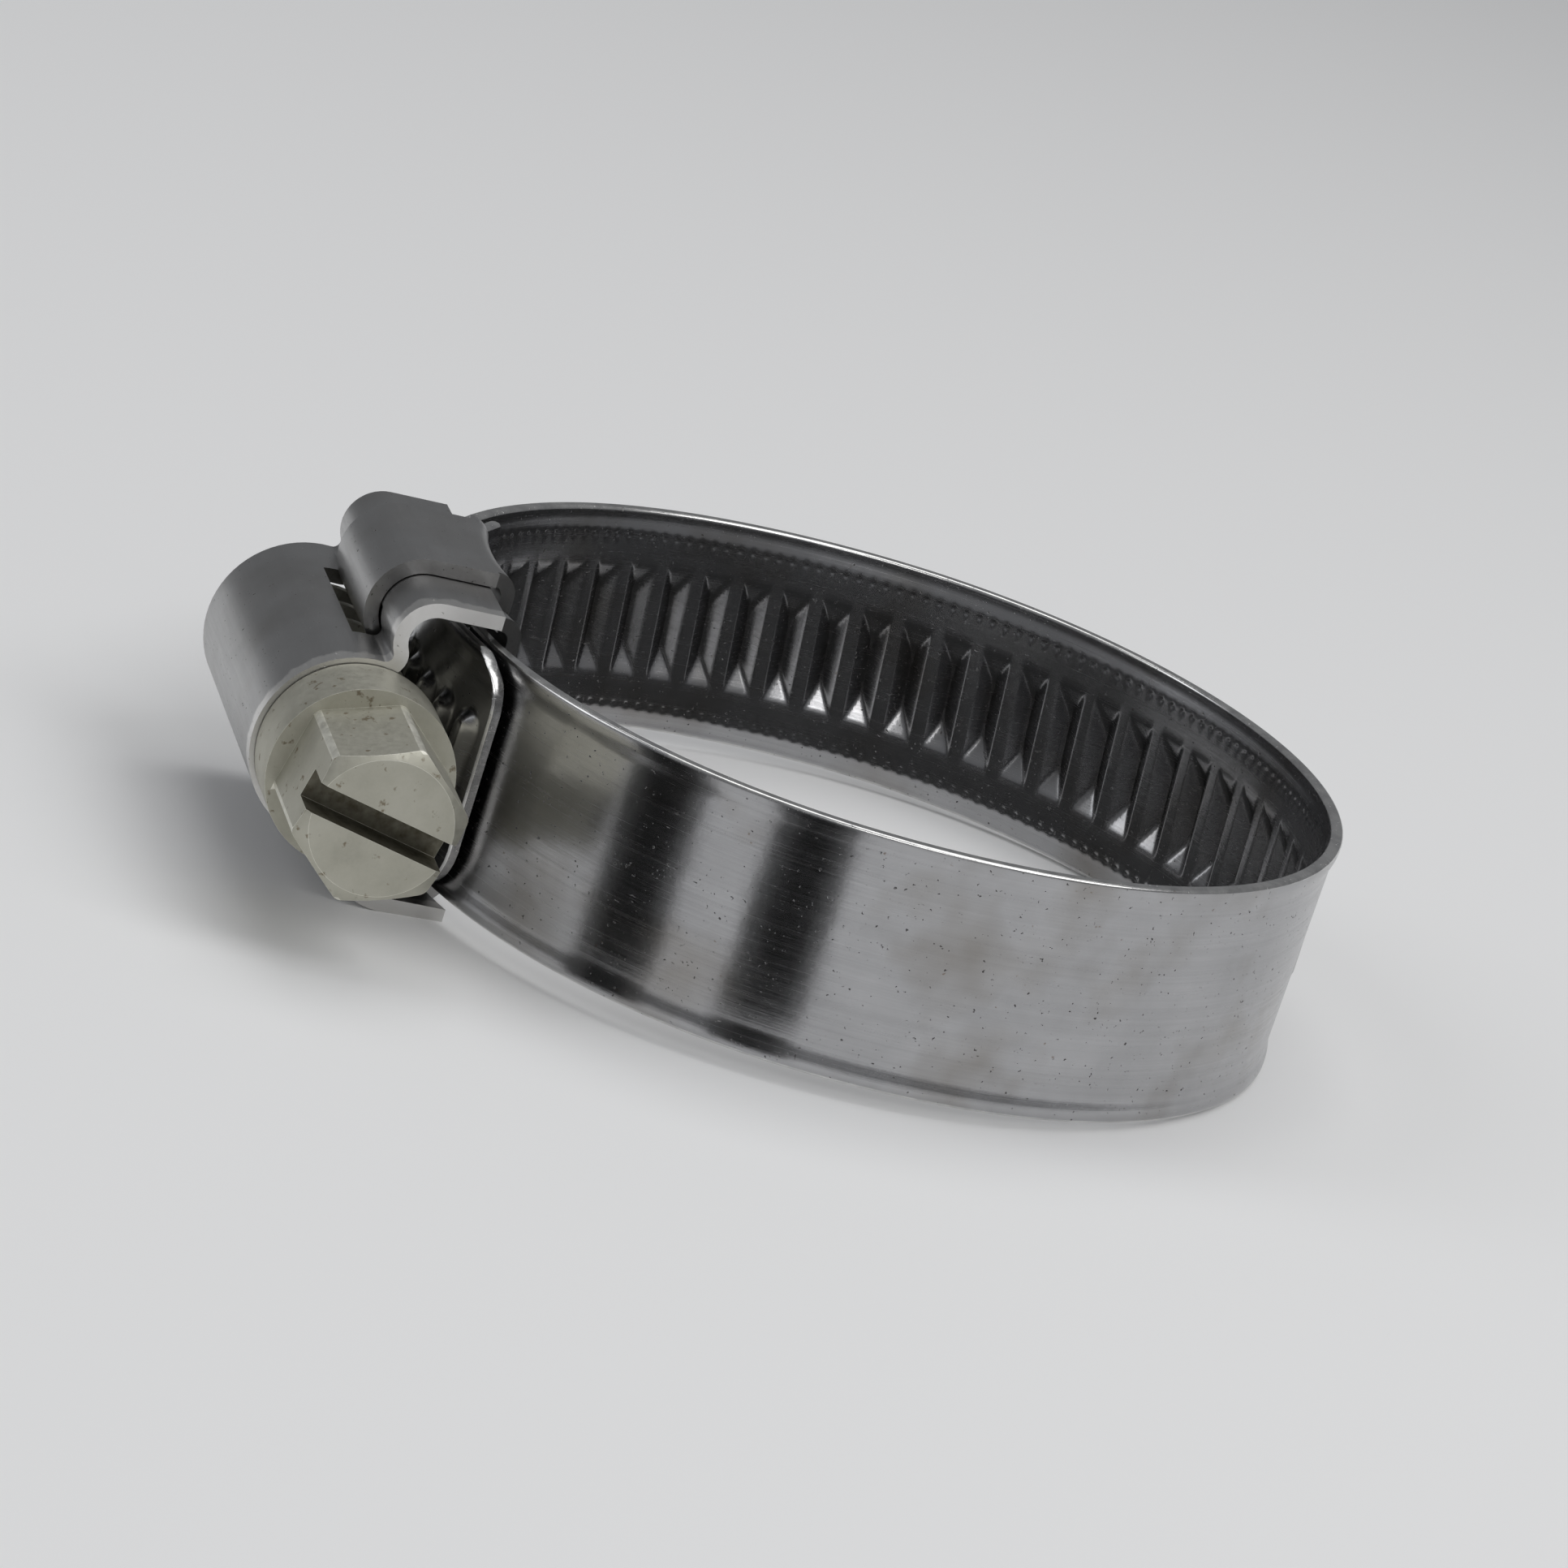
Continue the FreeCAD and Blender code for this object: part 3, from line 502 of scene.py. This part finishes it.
def steel(name, coordinates, grain, tone, dull, oil, mottle, mouth=None):
    """Rolled stainless sheet: lines along the rolling direction, cloudy gloss, pits, specks and oil.

    grain is the scale of the lines on each axis, dull the roughness, oil the strength of the brownish
    film and mottle that of the unevenness. mouth is the X below which crimping has left it bright.
    """
    material, tree, shader = new_metal(name)
    vector = coordinates(tree)
    lines = noise(tree, stretched(tree, vector, grain), 1.0, 6.0, 0.7)
    broad = noise(tree, stretched(tree, vector, tuple(0.22 * step for step in grain)), 1.0, 3.0, 0.6)
    clouds = noise(tree, vector, 0.22, 5.0, 0.6)
    patches = noise(tree, vector, 1.1, 4.0, 0.6)
    pits = ramp(tree, noise(tree, vector, 5.0, 2.0, 0.5), [(0.262, 1.0), (0.295, 0.0)])
    specks = ramp(tree, noise(tree, vector, 1.9, 3.0, 0.6), [(0.715, 0.0), (0.76, 1.0)])
    film = ramp(tree, noise(tree, vector, 0.16, 3.0, 0.55), [(0.50, 0.0), (0.72, 1.0)])

    cloudy = [(0.25, darker(tone, 1 - 0.16 * mottle)), (0.75, darker(tone, 1 + 0.08 * mottle))]
    colour = ramp(tree, clouds, cloudy)
    fine = ramp(tree, lines, [(0.3, 0.0), (0.7, 0.30 * mottle)])
    colour = mix(tree, fine, colour, darker(tone, 0.76))
    wide = ramp(tree, broad, [(0.45, 0.0), (0.75, 0.25 * mottle)])
    colour = mix(tree, wide, colour, darker(tone, 0.70))
    colour = mix(tree, maths(tree, "MULTIPLY", film, oil), colour, (0.19, 0.165, 0.13))
    # Darker colour from the mesh's mask: painted shade in the band's furrows and pockets, and the housing's
    # darker end faces.
    painted_darkening = ramp(tree, patches, [(0.3, 0.35), (0.65, 0.65)])
    painted_darkening = maths(tree, "MULTIPLY", mask(tree, "painted_shade_and_dark_ends"), painted_darkening)
    colour = mix(tree, painted_darkening, colour, (0.11, 0.10, 0.09))
    colour = mix(tree, maths(tree, "MULTIPLY", pits, 0.75), colour, (0.05, 0.045, 0.04))
    colour = mix(tree, maths(tree, "MULTIPLY", specks, 0.6), colour, (0.16, 0.10, 0.06))
    # Lighter colour from the mesh's edge mask: edge wear with a painted highlight on rounded edges and cut
    # ends, and a painted highlight near the band's rib tops.
    wear_and_glint = ramp(tree, patches, [(0.3, 0.35), (0.6, 0.9)])
    wear_and_glint = maths(tree, "MULTIPLY", mask(tree, "edge"), wear_and_glint)
    colour = mix(tree, wear_and_glint, colour, (0.80, 0.795, 0.78))
    if mouth is not None:
        split = tree.nodes.new("ShaderNodeSeparateXYZ")
        tree.links.new(vector, split.inputs["Vector"])
        near = maths(tree, "SUBTRACT", mouth, split.outputs["X"])
        near = maths(tree, "ADD", near, maths(tree, "MULTIPLY", patches, 1.1))
        near = ramp(tree, near, [(0.35, 0.0), (0.6, 1.0)])
        colour = mix(tree, maths(tree, "MULTIPLY", near, 0.75), colour, (0.82, 0.81, 0.79))
    tree.links.new(colour, shader.inputs["Base Color"])

    rough = ramp(tree, lines, [(0.25, dull - 0.07 * mottle), (0.75, dull + 0.08 * mottle)])
    matt = ramp(tree, patches, [(0.35, 0.0), (0.7, 0.30 * mottle)])
    rough = mix(tree, matt, rough, dull + 0.12)
    rough = mix(tree, pits, rough, 0.75)
    tree.links.new(rough, shader.inputs["Roughness"])
    bumped(tree, shader, [(lines, 0.0000035, mottle), (clouds, 0.00006, 0.5 * mottle),
                          (maths(tree, "SUBTRACT", 1.0, pits), 0.00002, 0.8)])
    return material


def zinc(name):
    """Passivated zinc plate on turned steel: matt, warm grey, cloudy, lighter on the edges from wear with a
    painted highlight, and with painted shade in the slot.
    """
    material, tree, shader = new_metal(name)
    vector = object_millimetres(tree)
    clouds = noise(tree, vector, 0.35, 6.0, 0.62)
    grain = noise(tree, vector, 3.2, 5.0, 0.7)
    flecks = noise(tree, vector, 1.6, 3.0, 0.6)
    cloudy = [(0.25, (0.38, 0.37, 0.31)), (0.5, (0.46, 0.45, 0.38)), (0.78, (0.54, 0.53, 0.46))]
    colour = ramp(tree, clouds, cloudy)
    colour = mix(tree, ramp(tree, grain, [(0.35, 0.0), (0.75, 0.35)]), colour, (0.62, 0.61, 0.54))
    colour = mix(tree, ramp(tree, flecks, [(0.63, 0.0), (0.70, 0.7)]), colour, (0.15, 0.105, 0.05))
    # Painted shade: darker colour in the driver slot, from the mesh's mask.
    painted_darkening = ramp(tree, flecks, [(0.3, 0.75), (0.65, 0.95)])
    painted_darkening = maths(tree, "MULTIPLY", mask(tree, "painted_shade_and_dark_ends"), painted_darkening)
    colour = mix(tree, painted_darkening, colour, (0.10, 0.09, 0.06))
    # Lighter colour on the rounded edges, from the mesh's mask: edge wear with a painted highlight.
    wear_and_glint = ramp(tree, flecks, [(0.3, 0.4), (0.6, 1.0)])
    wear_and_glint = maths(tree, "MULTIPLY", mask(tree, "edge"), wear_and_glint)
    colour = mix(tree, wear_and_glint, colour, (0.80, 0.79, 0.71))
    tree.links.new(colour, shader.inputs["Base Color"])
    shader.inputs["Metallic"].default_value = 0.8
    rough = ramp(tree, grain, [(0.3, 0.44), (0.75, 0.64)])
    tree.links.new(rough, shader.inputs["Roughness"])
    bumped(tree, shader, [(grain, 0.000018, 0.6), (clouds, 0.00008, 0.4)])
    return material


band_steel = steel("band_steel", strip_millimetres, grain=(0.05, 9.0, 1.0), tone=(0.47, 0.47, 0.48),
                   dull=0.22, oil=0.45, mottle=1.0)
housing_steel = steel("housing_steel", object_millimetres, grain=(0.20, 5.0, 5.0), tone=(0.455,) * 3,
                      dull=0.31, oil=0.20, mottle=0.75, mouth=-7.5)
zinc_plate = zinc("zinc_plate")

# ---------------------------------------------------------------- the band
hinges = sorted((joint for joint in frame["joints"] if joint["name"].startswith("band_bend")),
                key=lambda joint: joint["name"])
hinge_places = [along_line(np.array(joint["pos_m"][:2]) / MM) for joint in hinges]
fixed_begin = BAND_LENGTH - TONGUE_REACH - FIXED_REACH
SEAM_MARGIN = 0.6                  # length at each seam that doesn't bend
cuts = [hinge_places[0] - 2 * PITCH]
for before, after in zip(hinge_places[:-1], hinge_places[1:]):
    middle = (before + after) / 2
    cuts.append(THREAD_MIDDLE + round((middle - THREAD_MIDDLE) / PITCH) * PITCH)
cuts.append(fixed_begin - FIXED_GAP)


def place_of(along):
    """The point of the strip's middle line at this distance along it, in metres."""
    x, y = on_line(np.array(along), np.array(0.0))
    return Vector((float(x), float(y), 0.0)) * MM


def finish_strip(piece, cad_node):
    """Gives a piece of the band its material, and hides the CAD node that it stands for."""
    piece.data.materials.append(band_steel)
    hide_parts(cad_node)


tail_strip = strip_mesh("band_tail_strip", 0.0, cuts[0], begin_kind="tail")
finish_strip(tail_strip, "band_tail")
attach(tail_strip, "tail")
for number, joint in enumerate(hinges, start=1):
    begin, finish = cuts[number - 1], cuts[number]
    finish_kind = "cut" if number == len(hinges) else "seam"
    strip = strip_mesh("band_strip_%02d" % number, begin, finish, finish_kind=finish_kind)
    finish_strip(strip, "band_segment_%02d" % number)
    hinge = hinge_places[number - 1]
    spread = min(hinge - begin, finish - hinge) - SEAM_MARGIN
    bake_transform(strip, joint["parent"], joint["child"],
             start=place_of(hinge - spread), end=place_of(hinge + spread))
fixed_strip = strip_mesh("band_fixed_strip", fixed_begin, BAND_LENGTH,
                         begin_kind="cut", finish_kind="tongue")
finish_strip(fixed_strip, "band_fixed_end")
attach(fixed_strip, "root")


# ---------------------------------------------------------------- housing and screw
MERGE_DISTANCE = 2e-6              # metres
FLAT_ANGLE = 0.6                   # degrees under which the CAD's facets are joined
WORM_GAP = 0.1
WORM_RADIUS = 3.7
SCREW_HEIGHT = SEAT[1] + TAIL + THICKNESS / 2 + WORM_GAP + WORM_RADIUS
HEAD_TURN = 14.0
SLOT_WIDTH = 1.4
SLOT_DEPTH = 1.8
SLOT_START = 0.15                  # the slot's faces, told apart from those of the head around it
SLOT_PAST = 0.3
SLOT_SIDE = 0.05
SLOT_END = 0.2
HEX_LENGTH = 5.85
HEX_FLAT = 3.5
HEX_CORNER = 3.7                   # of the hexagon only the corners stand further out than this
LONG_EDGE = 1.5
ALONG_SHARE = 0.9
CUT_NORMAL = 0.6                   # faces of the sheet that look along X more than this are sheared
CUT_DARKENING = 0.75


def bevel_edges(work, choose, round_by, segments):
    """Rounds the chosen edges and marks the new faces for a lighter colour: edge wear with a painted
    highlight.
    """
    chosen = [line for line in work.edges if line.is_manifold and choose(line)]
    made = bmesh.ops.bevel(work, geom=chosen, offset=round_by, offset_type="OFFSET", segments=segments,
                           profile=0.5, affect="EDGES", clamp_overlap=True)
    wear_and_highlight_layer = work.faces.layers.float["edge"]
    for face in made["faces"]:
        face[wear_and_highlight_layer] = 1.0


def rounded_copy(node_name, name, passes, darkness_of):
    """The CAD shape with its edges rounded, as a new piece. Each pass is (choose, radius, segments)."""
    work = bmesh.new()
    work.from_mesh(frame["nodes"][node_name].data)
    bmesh.ops.remove_doubles(work, verts=work.verts, dist=MERGE_DISTANCE)
    bmesh.ops.dissolve_limit(work, angle_limit=math.radians(FLAT_ANGLE), verts=work.verts,
                             edges=work.edges)
    work.faces.layers.float.new("edge")
    for choose, round_by, segments in passes:
        bevel_edges(work, choose, round_by, segments)
    # Per-face darker colour from the given function: painted shade in the screw's slot, and the housing's
    # darker end faces.
    painted_shade_and_dark_ends = work.faces.layers.float.new("painted_shade_and_dark_ends")
    for face in work.faces:
        face[painted_shade_and_dark_ends] = darkness_of(face)
    mesh = bpy.data.meshes.new(name)
    work.to_mesh(mesh)
    work.free()
    piece = add_object(name, mesh)
    smooth_shade(piece)
    weighted = piece.modifiers.new("weighted_normals", "WEIGHTED_NORMAL")
    weighted.keep_sharp = True
    return piece


def turns_more(degrees):
    """Chooses the edges where the surface turns more than this."""
    return lambda line: line.calc_face_angle(0) > math.radians(degrees)


def cut_edge(face):
    """Darker colour on the sheet's sheared end faces, the faces that look along X."""
    return CUT_DARKENING if abs(face.normal.x) > CUT_NORMAL else 0.0


housing = rounded_copy("housing", "housing_shell", [(turns_more(42), 0.09 * MM, 2)], cut_edge)
housing.data.materials.append(housing_steel)
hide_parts("housing")
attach(housing, "root")

head_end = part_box("worm_screw")[0].x / MM
slot_turn = Matrix.Rotation(math.radians(-HEAD_TURN), 3, "X")


def hex_corner(line):
    """Chooses the six long corner edges of the hexagon."""
    first, second = [corner.co / MM for corner in line.verts]
    middle = (first + second) / 2
    length = (first - second).length
    long_way = abs(first.x - second.x) > ALONG_SHARE * length > LONG_EDGE
    outside = math.hypot(middle.y - SCREW_HEIGHT, middle.z) > HEX_CORNER
    return long_way and outside and middle.x < head_end + HEX_LENGTH


def in_slot(face):
    """Painted shade on the faces of the driver slot, which get a darker colour."""
    spot = face.calc_center_median() / MM
    _, lengthwise, across = slot_turn @ Vector((0.0, spot.y - SCREW_HEIGHT, spot.z))
    deep = head_end + SLOT_START < spot.x < head_end + SLOT_DEPTH + SLOT_PAST
    between = abs(across) < SLOT_WIDTH / 2 + SLOT_SIDE and abs(lengthwise) < HEX_FLAT - SLOT_END
    return 1.0 if deep and between else 0.0


screw = rounded_copy("worm_screw", "screw_plated",
                     [(hex_corner, 0.34 * MM, 3), (turns_more(25), 0.11 * MM, 2)], in_slot)
screw.data.materials.append(zinc_plate)
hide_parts("worm_screw")
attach(screw, "screw")

# ---------------------------------------------------------------- floor, lights and camera
VIEW_AZIMUTH, VIEW_ELEVATION, VIEW_ROLL = 250.5, 17.9, 18.0
VIEW_DISTANCE = 0.271              # metres
VIEW_LENS = 128.0
VIEW_AIM = Vector((0.0, 0.0045, 0.0))
HEM_OUT = 23.0                     # from the seat's centre to the housing edge that the clamp lies on
FLOOR_HALF = 2.5                   # metres
FLOOR_GAP = 0.00002                # metres
FLOOR_WHITE = 0.93
MATT = 0.9
STRIPE_CENTRES = (-22.0, -4.0)     # degrees round the ring from the point nearest the camera
STRIPE_LAYERS = ((2.7, 7.0, 0.01), (5.0, 7.5, 0.16))   # half width in degrees, distance out, grey
STRIPE_LOW, STRIPE_HIGH = -9.0, 5.5
DISC_RADIUS = 20.0
DISC_SIDES = 32
DISC_LIFT = 0.0004                 # metres
DISC_GREY = 0.03


def toward(azimuth, elevation=0.0):
    """Unit vector from the object to a place at this azimuth and elevation."""
    a, e = math.radians(azimuth), math.radians(elevation)
    return Vector((math.sin(a) * math.cos(e), -math.cos(a) * math.cos(e), math.sin(e)))


def matt_paint(name, grey):
    """A plain matt material, and its shader."""
    paint = bpy.data.materials.new(name)
    paint.use_nodes = True
    shader = paint.node_tree.nodes["Principled BSDF"]
    shader.inputs["Base Color"].default_value = (grey, grey, grey, 1)
    shader.inputs["Roughness"].default_value = MATT
    return paint, shader


def flat_shape(name, corners, paint):
    """One flat face through the corners, painted."""
    shape = bpy.data.meshes.new(name)
    shape.from_pydata(corners, [], [tuple(range(len(corners)))])
    shape.materials.append(paint)
    return add_object(name, shape)


# The clamp lies on the housing's lower edge and on the ring opposite it, so the floor is tilted.
hem_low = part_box("housing")[0]
ring_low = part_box("band_segment_05")[0]
rest_tilt = math.atan2(ring_low.z - hem_low.z, (SEAT[1] + HEM_OUT) * MM - ring_low.y)
floor_paint, floor_shader = matt_paint("floor_paint", FLOOR_WHITE)
floor_shader.inputs["Specular IOR Level"].default_value = 0.1
floor_corners = [(FLOOR_HALF * x, FLOOR_HALF * y, 0) for x, y in ((-1, -1), (1, -1), (1, 1), (-1, 1))]
floor = flat_shape("floor", floor_corners, floor_paint)
floor.location = (0, ring_low.y, ring_low.z - FLOOR_GAP)
floor.rotation_euler = (-rest_tilt, 0, 0)

world = bpy.data.worlds.new("studio")
bpy.context.scene.world = world
world.use_nodes = True
background = world.node_tree.nodes["Background"]
background.inputs["Color"].default_value = (0.82, 0.835, 0.86, 1)
background.inputs["Strength"].default_value = 0.22


def soft_light(name, azimuth, elevation, distance, size, power, colour=(1, 1, 1)):
    """A rectangular soft light that faces the object. Lengths are in metres."""
    light = bpy.data.lights.new(name, "AREA")
    light.shape = "RECTANGLE"
    light.size, light.size_y = size
    light.energy = power
    light.color = colour
    holder = add_object(name, light)
    back = toward(azimuth, elevation)
    holder.location = back * distance
    holder.rotation_mode = "QUATERNION"
    holder.rotation_quaternion = back.to_track_quat("Z", "Y")


soft_light("key_light", VIEW_AZIMUTH + 62, 52, 0.55, (0.30, 0.30), 0.85)
soft_light("fill_light", VIEW_AZIMUTH - 78, 34, 0.6, (0.20, 0.40), 0.40, colour=(0.95, 0.97, 1.0))
soft_light("front_light", VIEW_AZIMUTH + 16, 34, 0.6, (0.26, 0.14), 0.34)
soft_light("top_light", VIEW_AZIMUTH + 180, 80, 0.6, (0.45, 0.45), 1.0)


def dark_card(name, corners, grey):
    """A dark card beside the object, seen only in the metal's reflections."""
    card = flat_shape(name, corners, matt_paint(name, grey)[0])
    for flag in ("visible_camera", "visible_diffuse", "visible_shadow"):
        setattr(card, flag, False)


# Two dark stripes on the near side of the ring: each is a narrow card and a wider, greyer one behind it.
for turn in STRIPE_CENTRES:
    for half_width, stand, grey in STRIPE_LAYERS:
        mirrored = VIEW_AZIMUTH + 2 * turn
        middle = toward(VIEW_AZIMUTH + turn) * (RING * MM) + toward(mirrored) * (stand * MM)
        side = toward(mirrored + 90)
        reach = math.radians(half_width) * (RING * math.cos(math.radians(turn)) + 2 * stand) * MM
        corners = [middle + side * (reach * across) + Vector((0, 0, height * MM)) for across, height in
                   ((-1, STRIPE_LOW), (1, STRIPE_LOW), (1, STRIPE_HIGH), (-1, STRIPE_HIGH))]
        dark_card("stripe_card_%d_%d" % (-turn, half_width), corners, grey)

# A dark disc just over the floor inside the ring, which darkens the ring's inner wall.
disc = []
for step in range(DISC_SIDES):
    angle = step * 2 * math.pi / DISC_SIDES
    x, y = math.cos(angle) * DISC_RADIUS * MM, math.sin(angle) * DISC_RADIUS * MM
    disc.append((x, y, ring_low.z + DISC_LIFT - math.tan(rest_tilt) * (y - ring_low.y)))
dark_card("inner_card", disc, DISC_GREY)

camera_data = bpy.data.cameras.new("camera")
camera_data.sensor_width = 36.0
camera_data.lens = VIEW_LENS
camera_data.clip_start = 0.01
camera_data.clip_end = 20.0
camera = add_object("camera", camera_data)
view_back = toward(VIEW_AZIMUTH, VIEW_ELEVATION)
camera.location = VIEW_AIM + view_back * VIEW_DISTANCE
camera.rotation_mode = "QUATERNION"
level = (-view_back).to_track_quat("-Z", "Y")
camera.rotation_quaternion = level @ Matrix.Rotation(math.radians(VIEW_ROLL), 4, "Z").to_quaternion()
bpy.context.scene.camera = camera
bpy.context.scene.view_settings.view_transform = "Standard"
